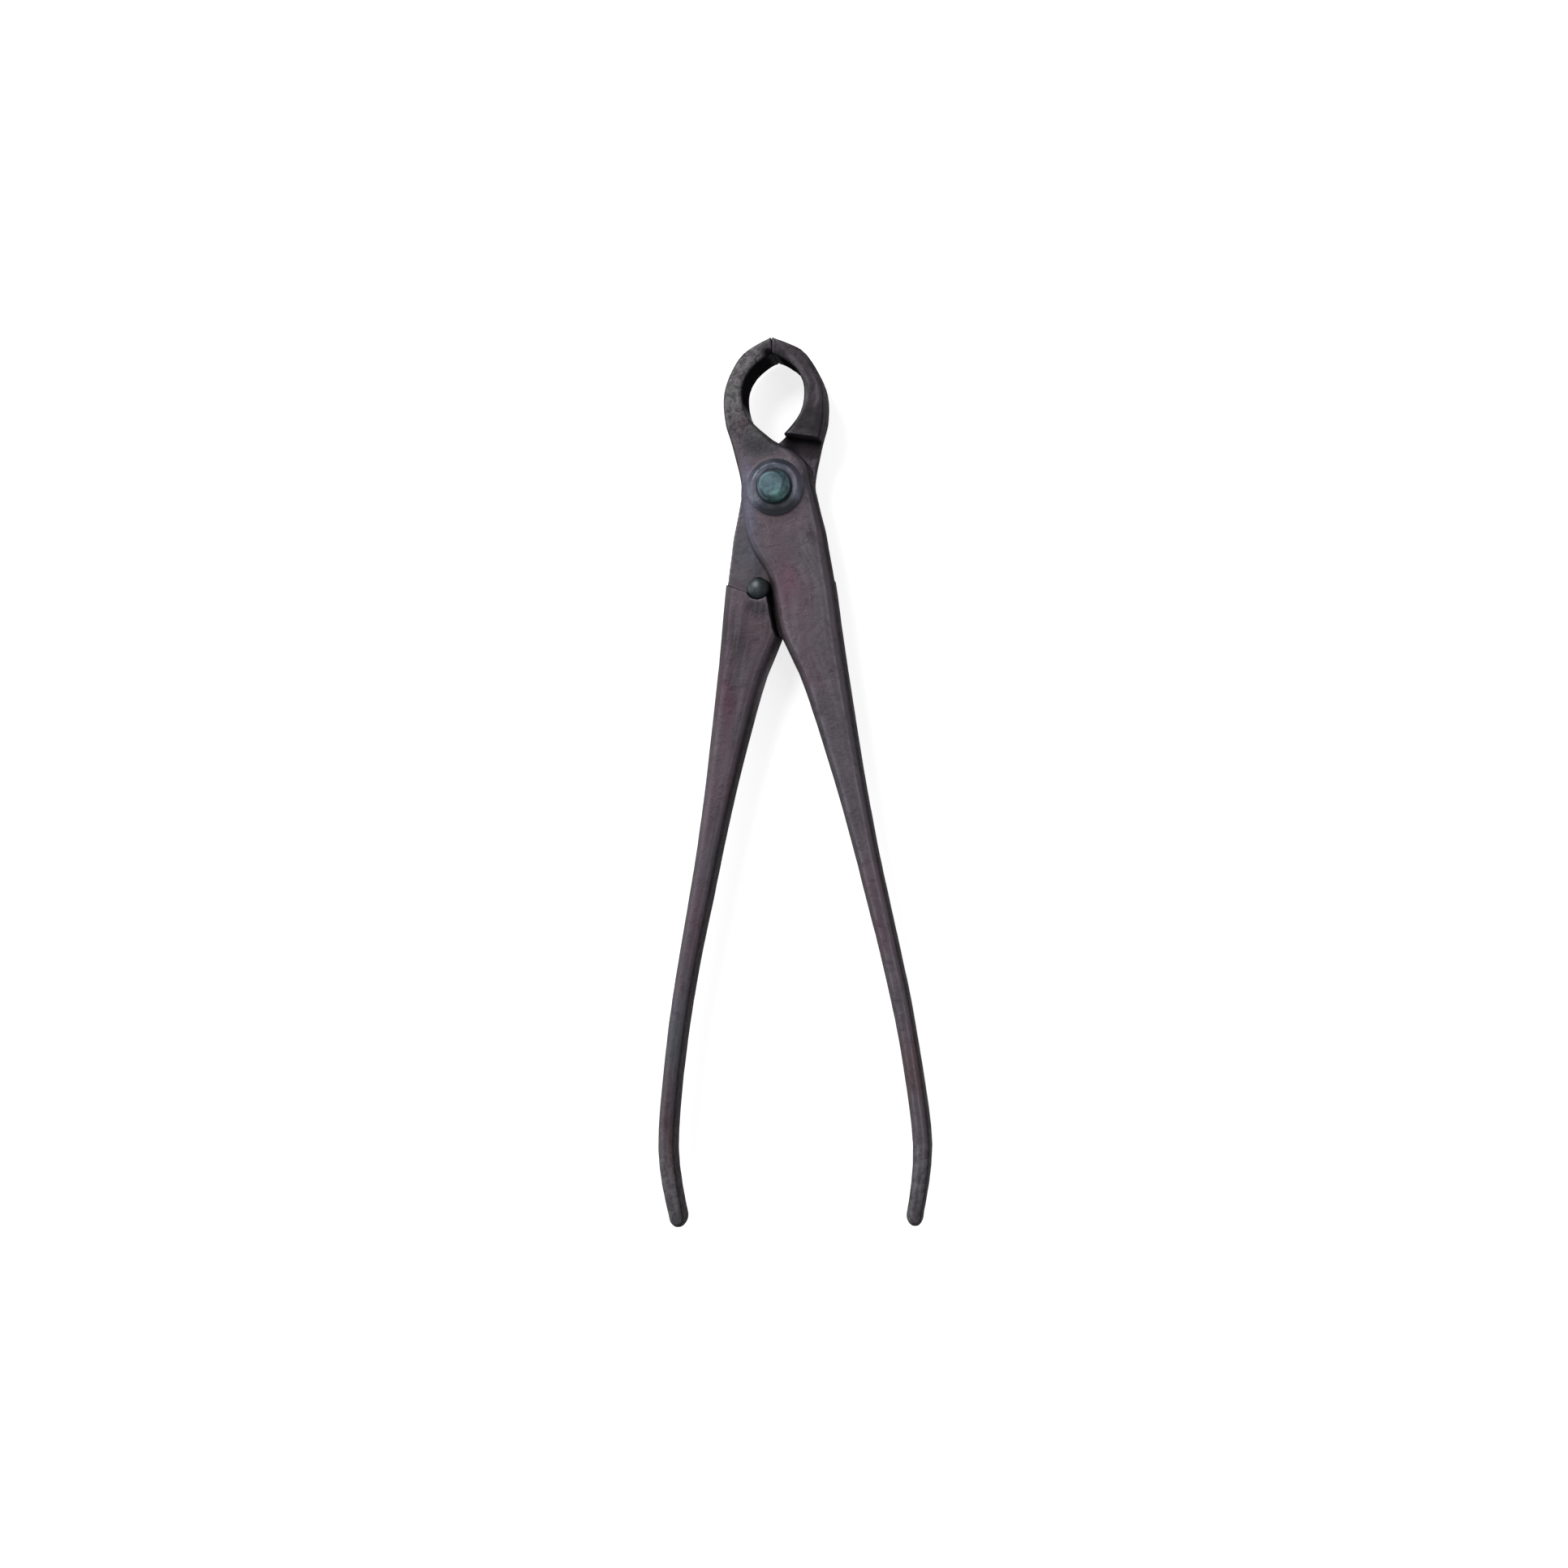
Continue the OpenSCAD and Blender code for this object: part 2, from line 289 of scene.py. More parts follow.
def blued_steel(name, blue):
    """Worn blue steel with a painted shade colour on its sides, a tint, a painted highlight, and grime with
    painted shade and shadow.
    """
    t = Tree(name)
    broad = t.noise(210, 3, 0.5)
    mid = t.noise(520, 4, 0.55, distort=0.4)
    fine = t.noise(2600, 3, 0.6)
    t.colour = t.mix(t.ramp(mid, 0.36, 0.68, 0.0, 0.7), blue["base"], blue["side"])
    t.over(t.ramp(broad, 0.42, 0.66, 0.0, 0.5), blue["worn"])
    t.over(t.ramp(fine, 0.58, 0.78, 0.0, 0.4), blue["side"])
    t.over(t.where("tint", 0.8), blue["tint"])
    t.over(t.ramp(t.attr("edge"), 0.10, 0.80, 0.0, 0.7), blue["worn"])
    # Painted highlight where the piece catches the light
    t.over(t.attr("lit"), blue["worn"])
    # Painted shade colour on the sides
    t.over(t.attr("wall"), blue["side"])
    # Grime round the foot, and painted shade and shadow where the marks put it
    t.over(t.where("grime_and_shade", t.ramp(mid, 0.30, 0.70, 1.0, 0.75)), GRIME_AND_SHADE)
    rough = t.math("ADD", t.ramp(mid, 0.30, 0.70, 0.36, 0.52), t.where("grime_and_shade", 0.3))
    normal = t.bump(fine, 0.25, 0.00005)
    normal = t.bump(mid, 0.35, 0.00014, normal)
    return t.done(rough, t.ramp(t.attr("grime_and_shade"), 0.0, 1.0, 0.8, 0.2), 0.35, normal)


# Mesh helpers

def arrays(mesh):
    """Points, normals and edges of a mesh, called co, nr and ed in what follows."""
    n = len(mesh.vertices)
    co = np.empty(n * 3, np.float32)
    mesh.vertices.foreach_get("co", co)
    nr = np.empty(n * 3, np.float32)
    mesh.vertices.foreach_get("normal", nr)
    ed = np.empty(len(mesh.edges) * 2, np.int64)
    mesh.edges.foreach_get("vertices", ed)
    return co.reshape(-1, 3).astype(float), nr.reshape(-1, 3).astype(float), ed.reshape(-1, 2)


def move_to(mesh, co):
    mesh.vertices.foreach_set("co", co.astype(np.float32).ravel())
    mesh.update()


def attribute(mesh, name, values):
    a = mesh.attributes.new(name, "FLOAT", "POINT")
    a.data.foreach_set("value", np.asarray(values, dtype=np.float32))


def spread(values, ed, times):
    """Averages a value over its neighbours a few times."""
    v = values.copy()
    for _ in range(times):
        s = v.copy()
        k = np.ones(len(v))
        np.add.at(s, ed[:, 0], v[ed[:, 1]])
        np.add.at(s, ed[:, 1], v[ed[:, 0]])
        np.add.at(k, ed[:, 0], 1)
        np.add.at(k, ed[:, 1], 1)
        v = s / k
    return v


def curvature(co, nr, ed, times):
    """Signed bend of the surface: above 0 on outer edges, below 0 in corners."""
    d = co[ed[:, 1]] - co[ed[:, 0]]
    ln = np.linalg.norm(d, axis=1) + 1e-9
    s = np.zeros(len(co))
    k = np.zeros(len(co)) + 1e-6
    np.add.at(s, ed[:, 0], -(d * nr[ed[:, 0]]).sum(1) / ln)
    np.add.at(s, ed[:, 1], (d * nr[ed[:, 1]]).sum(1) / ln)
    np.add.at(k, ed[:, 0], 1)
    np.add.at(k, ed[:, 1], 1)
    return spread(s / k, ed, times)


def facing(nr):
    """1 on surfaces that look to the front, and -1 on those that look to the back."""
    return np.where(nr[:, 2] >= 0, 1.0, -1.0)


def step(v, lo, hi):
    """Smooth change from 0 to 1 while v goes from lo to hi."""
    x = np.clip((v - lo) / (hi - lo), 0, 1)
    return x * x * (3 - 2 * x)


def bell(v, middle, width):
    return np.exp(-((v - middle) / width) ** 2)


def field(co, scale, shift):
    """Smooth noise, between about -1 and 1, at each point."""
    return np.array([noise.noise(Vector(c) * scale + Vector(shift)) for c in co])


def patches(x, y, rows):
    """Sum of soft spots, each given by its x, y, width, height and strength."""
    total = np.zeros(len(x))
    for px, py, w, h, k in rows:
        total += k * bell(x, px, w) * bell(y, py, h)
    return np.clip(total, 0, 1)


def link(ob):
    scene.collection.objects.link(ob)
    return ob


def finish_piece(ob, mat, body, node):
    mesh = ob.data
    mesh.name = ob.name
    mesh.polygons.foreach_set("use_smooth", np.ones(len(mesh.polygons), dtype=bool))
    mesh.materials.clear()
    mesh.materials.append(mat)
    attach(ob, body)
    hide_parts(node)


# Levers

# Spots on either face as seen from its own front: x, y, width, height in mm, and strength
SPECK = [
    (-8.5, 19, 3.5, 6.5, 1.0), (-6, 29, 5, 3, 0.8), (6.5, 16, 3.0, 3.5, 1.0), (3.5, 31, 5.0, 2.5, 0.8),
    (-4, 10.5, 5, 3, 0.7), (10, -56, 3, 12, 0.4), (-8, -40, 3, 9, 0.3), (-2.8, -37, 1.4, 4.5, 0.7),
    (26, -128, 3, 16, 0.5), (-27, -166, 4, 7, 0.8), (28, -166, 4, 7, 0.8),
]
# Painted highlight, lilac, where the faces and chamfers that look to the left catch the light
LILAC_HIGHLIGHT = [
    (-7.0, -6, 1.9, 9, 1.0), (-6.4, 2, 2.0, 6, 0.9), (-5.0, -14, 1.8, 4, 0.5), (7.2, 4.5, 1.6, 2.5, 0.6),
    (-25.8, -118, 2, 3.5, 0.5),
]
ROSE = [
    (1.8, -22, 2.6, 6, 1.0), (5.5, -28, 2.5, 5, 0.35), (-12.4, -47, 2.4, 4.5, 1.0),
    (-12.6, -57, 1.5, 9, 0.5), (6.5, -40, 3.0, 6, 0.25), (-7.5, 15, 2.0, 4, 0.2),
    (21, -104, 2.0, 10, 0.4), (-20, -98, 2.0, 9, 0.35), (-10, -30, 3.0, 7, 0.35), (29, -120, 2.5, 5, 0.3),
]
RUST = [
    (28.6, -133, 3.5, 6.5, 0.9), (-28.4, -147, 1.2, 6.5, 1.0), (7, -24, 1.2, 2.5, 0.4),
    (-26, -112, 1.5, 6, 0.4),
]
TEAL = [
    (-3, 10.5, 4.0, 3.0, 1.0), (-9.5, -16, 2.5, 8, 0.8), (-26.8, -127, 3.0, 9, 1.0), (13, -62, 2.5, 5, 0.4),
    (-9.5, -44, 1.6, 6, 0.4), (9, 2, 3, 8, 0.5), (-25.5, -165, 3, 6, 0.4), (28, -163, 3, 6, 0.3),
    (-4.5, -17, 2.0, 3.0, 0.7),
]
# Painted highlights on lit facets and edges of the jaws, at the tip and on the left handle
PALE_HIGHLIGHT = [
    (5.6, 15.0, 2.8, 2.0, 1.0), (7.1, 21.5, 0.6, 4.5, 1.0), (-9.6, 21, 1.4, 6, 0.35),
    (0.9, 34.2, 2.2, 0.8, 0.8), (-9.5, -44, 0.8, 12, 0.35),
]
STAINS_AND_HIGHLIGHTS = {"speck": SPECK, "lilac_highlight": LILAC_HIGHLIGHT, "rose": ROSE, "rust": RUST, "teal": TEAL, "pale_highlight": PALE_HIGHLIGHT}
SHADE = [
    (-3.0, 10.5, 4.0, 3.0, 0.95), (0, -16, 9, 12, 0.12), (-6.5, 13.0, 2.5, 4.0, 0.3),
    (9.5, 3.0, 3.0, 7.0, 1.0), (-4.6, -17.5, 1.8, 2.2, 0.6), (-5.0, -27.2, 2.4, 1.2, 1.0),
    (-2.5, -29, 1.6, 5, 0.7), (-10, -33, 5, 7, 0.9), (-11.5, -46, 4, 9, 0.5), (1.6, 31.0, 3.0, 1.8, 0.8),
    (-2.5, 31.5, 1.6, 1.6, 0.7), (8.7, 22, 0.9, 5, 0.7), (-28, -142, 3, 8, 0.3),
]
STREAK = [(8.5, 22, 2.8, 6.5, 0.5), (7.2, 6.0, 2.5, 4.0, 0.6), (8.2, -14, 1.3, 9.0, 0.7)]
# Painted shadow beside the pin in the round step, and at the tip
STEP_SHADOW = [(-2.6, -23.5, 1.3, 3.4, 0.65), (-4.6, -26.2, 2.2, 0.9, 0.6)]
TIP_SHADOW = [(-0.8, 31.6, 1.1, 1.1, 1.4), (2.8, 31.3, 0.9, 0.8, 0.5)]

# Stretches over which a look or a mark begins, in mm up or down from the pivot
JAW_STEEL_UP = (9.0, 15.0)
JAW_SHADE_UP = (9.0, 14.0)
RING_SHADOW_UP = (16.0, 21.0)
MEETING_UP = (28.0, 30.0)
GROUND_UP = (30.6, 33.1)
PITS_UP = (6.0, 14.0)
STREAKS_DOWN = (18.0, 45.0)
GRIP_END_DOWN = (140.0, 160.0)


def rebuild(ob):
    """Even, fine mesh over a lever's CAD solid, with its sharp edges eased as on a forging."""
    cells = ob.modifiers.new("remesh", "REMESH")
    cells.mode = "VOXEL"
    cells.voxel_size = CELL * MM
    cells.adaptivity = 0.0
    ease = ob.modifiers.new("ease", "SMOOTH")
    ease.factor = 0.5
    ease.iterations = EASE_PASSES
    graph = bpy.context.evaluated_depsgraph_get()
    mesh = bpy.data.meshes.new_from_object(ob.evaluated_get(graph))
    ob.modifiers.clear()
    coarse = ob.data
    ob.data = mesh
    bpy.data.meshes.remove(coarse)
    return mesh


def hammer(mesh, x, y, z, seed):
    """Sinks the forging's marks into the skin and closes the seam between the jaws."""
    co, nr, _ = arrays(mesh)

    # The marks stay off the lap faces, the boss and the meeting faces
    swells = field(co, SWELL_SCALE, (seed, 0, 0))
    dents = field(co, DENT_SCALE, (0, seed, 0))
    pits = field(co, PIT_SCALE, (0, 0, seed))
    keep = step(np.abs(z), 0.4, 2.0) * step(np.hypot(x, y), 7.0, 8.5)
    keep = keep * np.clip(step(np.abs(x), 0.25, 0.9) + step(-y, -24.0, -20.0), 0, 1)
    depth = SWELL_DEPTH * (swells + 0.6) + DENT_DEPTH * np.clip(dents + 0.1, 0, 1)
    depth = depth + PIT_DEPTH * np.clip(pits - 0.26, 0, 1) * step(y, *PITS_UP)
    co = co - nr * (depth * keep * MM)[:, None]

    # The meeting faces of the closed jaws come up to each other, so that no light shows between them
    meeting = (1 - step(np.abs(x), 0.06, 0.5)) * step(y, *MEETING_UP)
    co[:, 0] -= np.sign(x) * SEAM * meeting * MM
    move_to(mesh, co)


def lengthwise(mesh, x, y, z, bin_mm=4.0):
    """Vector attribute for grain that runs along the lever: across, a little along, and up."""
    bins = np.round((y - y.min()) / bin_mm).astype(int)
    middle = np.bincount(bins, x) / np.maximum(np.bincount(bins), 1)
    across = x - np.interp(y, y.min() + bin_mm * np.arange(len(middle)), middle)
    vectors = np.stack([across, 0.12 * y, 0.5 * z], 1) * MM
    a = mesh.attributes.new("along", "FLOAT_VECTOR", "POINT")
    a.data.foreach_set("vector", vectors.astype(np.float32).ravel())


def paint(mesh, x, y, z, seed):
    """Point attributes that tell the material where the skin is worn, stained or ground, and where
    highlights, shade and shadow are painted.
    """
    lengthwise(mesh, x, y, z)
    co, nr, ed = arrays(mesh)
    bend = curvature(co, nr, ed, 3)
    tilt = spread(np.abs(nr[:, 2]), ed, 2)
    flat = step(np.abs(nr[:, 2]), 0.10, 0.40)

    # Stains and painted highlights on either face as seen from its own front, with wavy borders
    own_x = facing(nr) * x
    wx = own_x + 1.6 * field(co, 160, (seed, seed, 3.0))
    wy = y + 2.0 * field(co, 120, (5.0, seed, seed))
    values = {name: flat * patches(wx, wy, rows) for name, rows in STAINS_AND_HIGHLIGHTS.items()}

    # Wear on the edges and painted shade in the corners, but hardly any on the round step away from its
    # corner
    cut = bell(np.hypot(x, y), STEP_R, 0.9)
    away = step(np.hypot(own_x - CORNER_X, y - CORNER_Y), 4.0, 6.0)
    values["edge"] = np.clip(bend / 0.16, 0, 1) * (1 - cut)
    values["hollow"] = np.clip(-bend / 0.12, 0, 1) * (1 - 0.8 * cut * away)

    # Scale with painted shade on the walls, less of it (painted light) at the foot of the ring, on walls
    # that look to the left below it, and inside the left handle near the crotch
    foot = bell(y, RING_FOOT_Y, 3.5) * (1 - step(np.abs(x), 6.5, 8.5))
    lit_wall = 0.45 * step(-nr[:, 0], 0.1, 0.6) * step(-y, -8.0, 4.0)
    lit_wall = lit_wall + 0.40 * step(nr[:, 0], 0.1, 0.6) * (x < 0) * bell(y, LIT_WALL_Y, 8.0)
    values["wall"] = (1 - step(tilt, 0.42, 0.84)) * (1 - 0.5 * foot) * (1 - lit_wall)

    # Painted highlight on the brow where the faces begin to turn over, mostly on the right
    values["brow_highlight"] = bell(tilt, 0.95, 0.035) * step(-y, -9.0, -3.0) * (0.5 + 0.5 * step(own_x, 0, 3))

    # Greyer steel on the jaws and the grip ends, and a darker right jaw
    jaw_steel = step(wy, *JAW_STEEL_UP) * np.where(wx < 0, 0.95, 0.45)
    values["jaw"] = np.maximum(jaw_steel, 0.85 * step(-wy, *GRIP_END_DOWN))
    right_jaw = step(wy, *JAW_SHADE_UP) * np.where(wx < 0, 0.0, 0.97)
    values["shade"] = np.clip(right_jaw + flat * patches(wx, wy, SHADE), 0, 1)
    streaks = patches(wx, wy, STREAK) + 0.16 * step(-y, *STREAKS_DOWN)
    values["streak"] = flat * np.clip(streaks, 0, 1)

    # Painted shadow on the lap face under the shoulder, in the round step, inside the ring and at the tip
    under = SHOULDER_Y - SHOULDER_SLOPE * own_x - y
    ragged = under + 1.2 * field(co, 260, (seed, 4.0, 0))
    band = step(under, -0.4, 0.0) * (1 - step(ragged, 3.6, 5.4)) * step(own_x, 0.0, 2.5) * flat
    strength = 0.58 + 0.3 * (1 - step(own_x, 3.0, 6.0)) + 0.3 * (1 - step(under, 0.5, 1.4))
    band = band * np.clip(strength, 0, 0.92)
    on_lap = (1 - step(np.abs(z), 1.0, 2.0)) * np.clip(patches(own_x, y, STEP_SHADOW) + band, 0, 1)
    in_ring = (1 - flat) * (1 - step(np.hypot(x, y - RING_Y), 8.0, 9.2)) * step(y, *RING_SHADOW_UP)
    at_tip = flat * patches(own_x, y, TIP_SHADOW)
    values["painted_shadow"] = np.maximum(np.maximum(on_lap, 0.9 * in_ring), at_tip)

    # Bare ground steel in the hollow behind the cutting edge
    lip = step(y, *GROUND_UP) * step(nr[:, 1], 0.5, 0.85) * (1 - step(np.abs(z), 3.6, 4.6))
    values["ground"] = 0.75 * lip
    for name, value in values.items():
        attribute(mesh, name, value)


def dress_lever(node, body, mat, seed):
    ob = link(bpy.data.objects.new("forged_" + node, nodes[node].data.copy()))
    mesh = rebuild(ob)
    co = arrays(mesh)[0]
    x, y, z = co[:, 0] / MM, co[:, 1] / MM, (co[:, 2] - MID) / MM
    hammer(mesh, x, y, z, seed)
    paint(mesh, x, y, z, seed)
    finish_piece(ob, mat, body, node)


forged = lever_steel("forged_steel")
dress_lever("rear_lever", "rear_half", forged, seed=3.7)
dress_lever("front_lever", "front_half", forged, seed=11.2)


# Turned pieces

# Spots round the piece's own middle, on either face as seen from its own front
# lit is a painted highlight; grime is grime round the foot, with painted shade and shadow on the parts away
# from the light; tint is a heat tint on the washer, and on the rivet and the pin the teal painted where
# their lower side lies in shade
WASHER = {
    "lit": [(-6.2, 0.5, 1.8, 5.0, 1.0), (4.8, -0.3, 0.6, 3.2, 0.9)],
    "tint": [(5.4, 3.8, 1.5, 2.4, 1.0), (6.4, -1.0, 1.0, 3.5, 0.3)],
    "grime_and_shade": [(0.0, -5.4, 4.2, 1.5, 0.9), (3.9, -4.2, 1.8, 1.8, 0.5), (6.3, -1.5, 0.5, 3.5, 0.4)],
}
RIVET = {
    "lit": [(-1.0, 0.8, 2.4, 1.4, 0.6)],
    "tint": [(1.0, -2.9, 1.5, 1.3, 1.0)],
    "grime_and_shade": [(-0.3, 3.4, 1.9, 0.45, 0.7), (3.0, 0.2, 0.5, 2.6, 0.3)],
}
PIN = {
    "lit": [(0.1, -0.2, 0.45, 1.6, 0.9)],
    "tint": [(-1.0, -2.0, 1.4, 0.7, 0.8)],
    "grime_and_shade": [(2.0, 0.4, 1.0, 2.4, 1.0), (0.3, -2.3, 2.0, 0.5, 0.8)],
}


def spin_mesh(profile, turns, wobble, seed):
    """Closed profile of (radius, height) in mm turned about Z, with a slight hand-worked wobble."""
    bm = bmesh.new()
    rings = []
    for k in range(turns):
        a = 2 * math.pi * k / turns
        ring = []
        for r, h in profile:
            n = noise.noise(Vector((math.cos(a) * 1.6, math.sin(a) * 1.6, h * 0.5 + seed)))
            w = 1.0 - wobble * (0.5 + 0.5 * n)
            ring.append(bm.verts.new((r * w * math.cos(a) * MM, r * w * math.sin(a) * MM, h * MM)))
        rings.append(ring)
    n = len(profile)
    for k in range(turns):
        p, q = rings[k], rings[(k + 1) % turns]
        for i in range(n):
            j = (i + 1) % n
            bm.faces.new((p[i], q[i], q[j], p[j]))
    bmesh.ops.remove_doubles(bm, verts=bm.verts, dist=1e-7)
    bmesh.ops.dissolve_degenerate(bm, edges=bm.edges, dist=1e-8)
    bmesh.ops.recalc_face_normals(bm, faces=bm.faces)
    mesh = bpy.data.meshes.new("spun")
    bm.to_mesh(mesh)
    bm.free()
    return mesh


def refine(profile, gap=0.25):
    """Extra points along the straight parts, so that dents and wear have something to move."""
    out = []
    for (a, b), (c, d) in zip(profile, profile[1:] + profile[:1]):
        k = max(1, int(math.hypot(c - a, d - b) / gap))
        out += [(a + (c - a) * i / k, b + (d - b) * i / k) for i in range(k)]
    return out


def dress_turned(name, node, mat, mesh, at, dent, seed, marks, side=(0.05, 0.45), foot=0.0):
    """Moves a turned piece to its place, dents it and paints it.

    Its sides, which get a painted shade colour, are where the front-to-back part of the normal is low,
    between the two values of side. Grime lies round a foot of the given radius, if there is one, and grime
    with painted shade where the marks put it.
    """
    ob = link(bpy.data.objects.new(name, mesh))
    co, nr, _ = arrays(mesh)
    depth = dent * (0.5 + 0.5 * field(co, 420, (seed, seed, 0))) * MM
    move_to(mesh, co - nr * depth[:, None] + np.array(at))
    co, nr, ed = arrays(mesh)
    x = facing(nr) * ((co[:, 0] - at[0]) / MM)
    y = (co[:, 1] - at[1]) / MM
    ring = 1 - step(np.hypot(x, y), foot, foot + 0.55) if foot else 0.0
    attribute(mesh, "edge", np.clip(curvature(co, nr, ed, 2) / 0.20, 0, 1))
    attribute(mesh, "wall", 1 - step(np.abs(nr[:, 2]), *side))
    attribute(mesh, "grime_and_shade", np.clip(ring + patches(x, y, marks["grime_and_shade"]), 0, 1))
    attribute(mesh, "tint", patches(x, y, marks["tint"]))
    attribute(mesh, "lit", patches(x, y, marks["lit"]))
    finish_piece(ob, mat, "rear_half", node)


# Rivet: shank with a low, flat-topped dome on each side, hammered a little off centre. The dome's
# points are shares of the head's radius and height. HEAD_LIFT keeps its underside off the washer.
DOME = [
    (0.40, 1.0), (0.66, 1.0), (0.73, 0.985), (0.80, 0.93), (0.89, 0.79), (0.955, 0.58),
    (0.99, 0.34), (0.99, 0.05), (0.97, 0.01),
]
SHANK_R = 2.9
HEAD_LIFT = 0.02
LEAN = Vector((-0.45, 0.12))
head_r = (rivet_high[0] - rivet_low[0]) / 2 / MM
seat = (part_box("front_washer")[1][2] - MID) / MM
half = (rivet_high[2] - MID) / MM
dome = [(0.0, half)] + [(r * head_r, seat + h * (half - seat)) for r, h in DOME]
shank = [(SHANK_R, seat + HEAD_LIFT), (SHANK_R, -seat - HEAD_LIFT)]
rivet_profile = refine(dome + shank + [(r, -h) for r, h in reversed(dome)])
rivet_mesh = spin_mesh(rivet_profile, turns=144, wobble=0.03, seed=1.3)
for v in rivet_mesh.vertices:
    rise = max(0.0, (abs(v.co.z) / MM - seat) / (half - seat)) ** 3
    end = 1 if v.co.z > 0 else -1
    v.co.x += end * LEAN.x * rise * MM
    v.co.y += LEAN.y * rise * MM
rivet_steel = blued_steel("blued_rivet_steel", RIVET_BLUE)
dress_turned("domed_rivet", "pivot_rivet", rivet_steel, rivet_mesh,
             at=(0, 0, MID), dent=0.08, seed=2.0, marks=RIVET)


# Washers
BORE_R = 3.14


def washer_profile(node, slope=1.1, rim=0.45):
    """Half section of a washer: flat underside, short upright rim, slope, flat top and bore."""
    lo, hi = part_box(node)
    t, r = (hi[2] - lo[2]) / MM, (hi[0] - lo[0]) / 2 / MM
    under = [(BORE_R, 0.05), (BORE_R + 0.06, 0.0), (r - 0.08, 0.0)]
    upright = [(r, 0.06), (r, t * rim - 0.05), (r - 0.05, t * rim)]
    top = [(r - slope, t * 0.97), (r - slope - 0.15, t), (BORE_R + 0.11, t), (BORE_R, t - 0.06)]
    return refine(under + upright + top, 0.2)


washer_steel = blued_steel("washer_steel", WASHER_BLUE)
front_ring = spin_mesh(washer_profile("front_washer"), turns=160, wobble=0.004, seed=5.0)
rear_profile = [(r, -h) for r, h in washer_profile("rear_washer")]
rear_ring = spin_mesh(rear_profile, turns=160, wobble=0.004, seed=8.0)
dress_turned("front_washer_ring", "front_washer", washer_steel, front_ring,
             at=(0, 0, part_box("front_washer")[0][2]), dent=0.03, seed=4.0, marks=WASHER, foot=head_r)
dress_turned("rear_washer_ring", "rear_washer", washer_steel, rear_ring,
             at=(0, 0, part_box("rear_washer")[1][2]), dent=0.03, seed=6.0, marks=WASHER, foot=head_r)

# Stop pin with a chamfered foot and a domed top. WALL_END and DOME_BASE go down from the top of the
# CAD pin, in mm.
PIN_CHAMFER = 0.15
WALL_END = 1.5
DOME_BASE = 1.45
DOME_RISE = 1.43
pin_r = (pin_high[0] - pin_low[0]) / 2 / MM
pin_h = (pin_high[2] - pin_low[2]) / MM
pin_profile = [(0, 0), (pin_r - PIN_CHAMFER, 0), (pin_r, PIN_CHAMFER), (pin_r, pin_h - WALL_END)]
for degrees in range(84, -1, -7):
    a = math.radians(degrees)
    pin_profile.append((pin_r * math.sin(a), pin_h - DOME_BASE + DOME_RISE * math.cos(a)))
pin_steel = blued_steel("pin_steel", PIN_BLUE)
pin_mesh = spin_mesh(refine(pin_profile), turns=110, wobble=0.01, seed=2.2)
dress_turned("domed_stop_pin", "stop_pin", pin_steel, pin_mesh,
             at=(pin_at.x, pin_at.y, pin_low[2]), dent=0.03, seed=9.0, marks=PIN, side=(0.35, 0.90))


# Floor, just under the rear rivet head and out to the horizon

FLOOR_R = 30.0
FLOOR_DROP = 0.0002
floor_bm = bmesh.new()
bmesh.ops.create_circle(floor_bm, cap_ends=True, segments=96, radius=FLOOR_R)
floor_mesh = bpy.data.meshes.new("floor")
floor_bm.to_mesh(floor_mesh)
floor_bm.free()
floor = link(bpy.data.objects.new("floor", floor_mesh))
floor.location = (0, 0, -FLOOR_DROP)
white = Tree("floor_white")
white.colour = srgb(200, 200, 200)
white.shader.inputs["Emission Color"].default_value = (1, 1, 1, 1)
white.shader.inputs["Emission Strength"].default_value = 0.75
floor_mesh.materials.append(white.done(0.9, 0.0, 0.05))


# Light

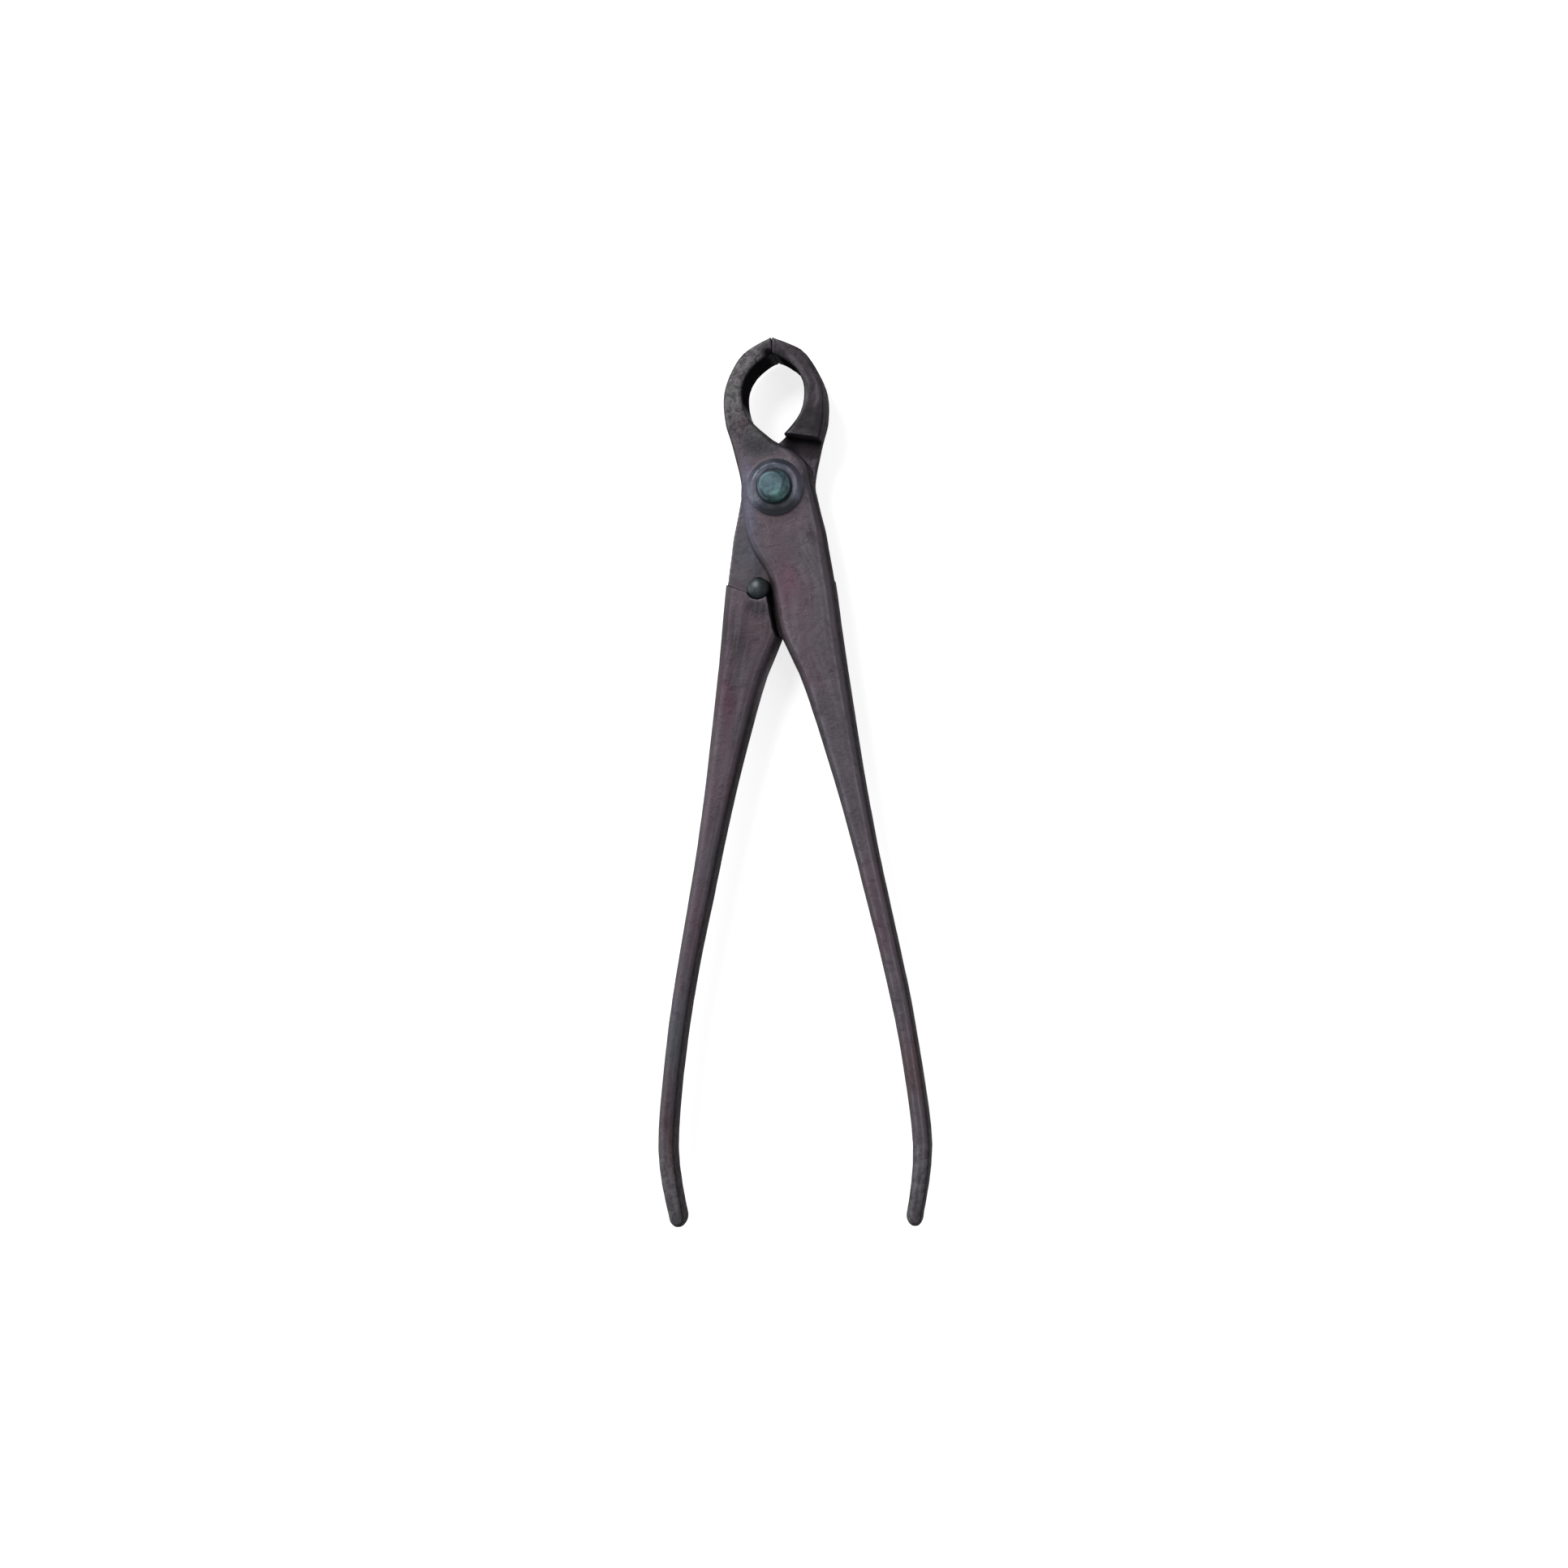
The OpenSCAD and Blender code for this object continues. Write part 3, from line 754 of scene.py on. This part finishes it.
LIT_POINT = Vector((0, -0.06, 0))
world = bpy.data.worlds.new("studio")
scene.world = world
world.use_nodes = True
sky = world.node_tree.nodes["Background"]
sky.inputs["Color"].default_value = (0.97, 0.98, 1.0, 1)
sky.inputs["Strength"].default_value = 0.25


def area(name, at, size, power, colour):
    d = bpy.data.lights.new(name, "AREA")
    d.shape = "RECTANGLE"
    d.size, d.size_y = size
    d.energy = power
    d.color = colour
    ob = link(bpy.data.objects.new(name, d))
    ob.location = at
    ob.rotation_euler = (LIT_POINT - Vector(at)).to_track_quat("-Z", "Y").to_euler()


area("key_upper_left", (-0.78, 1.05, 1.75), size=(0.80, 0.80), power=29.5, colour=(1.0, 0.995, 0.985))
area("left_fill", (-1.15, -0.02, 0.50), size=(0.35, 1.1), power=5.0, colour=(0.96, 0.97, 1.0))
area("right_strip", (0.80, -0.05, 0.95), size=(0.20, 0.9), power=3.2, colour=(1.0, 1.0, 1.0))


# Camera, a little to the right of the tool and below its middle

# In the photograph's own frame the tool is turned anticlockwise by TURN, its pivot lies at SHIFT,
# and the camera looks at the origin from HEIGHT above FOOT. Lengths are in mm, FOCAL and IMAGE in
# pixels of the photograph.
TURN = math.radians(1.380)
SHIFT = Vector((-1.24, 68.10))
FOOT = Vector((90.8, -41.5))
HEIGHT = 516.0
FOCAL = 2822.7
IMAGE = 1932
SENSOR = 36.0
turn = Matrix.Rotation(-TURN, 2)
eye_xy = turn @ (FOOT - SHIFT)
aim_xy = turn @ -SHIFT
up_xy = turn @ Vector((0, 1))
eye = Vector((eye_xy.x * MM, eye_xy.y * MM, HEIGHT * MM + MID))
aim = Vector((aim_xy.x * MM, aim_xy.y * MM, MID))
back = (eye - aim).normalized()
right = Vector((up_xy.x, up_xy.y, 0)).cross(back).normalized()
true_up = back.cross(right)
cam_data = bpy.data.cameras.new("photo_camera")
cam_data.sensor_width = SENSOR
cam_data.lens = SENSOR * FOCAL / IMAGE
cam_data.clip_start = 0.01
cam_data.clip_end = 100
cam = link(bpy.data.objects.new("photo_camera", cam_data))
cam.matrix_world = Matrix.Translation(eye) @ Matrix((right, true_up, back)).transposed().to_4x4()
scene.camera = cam
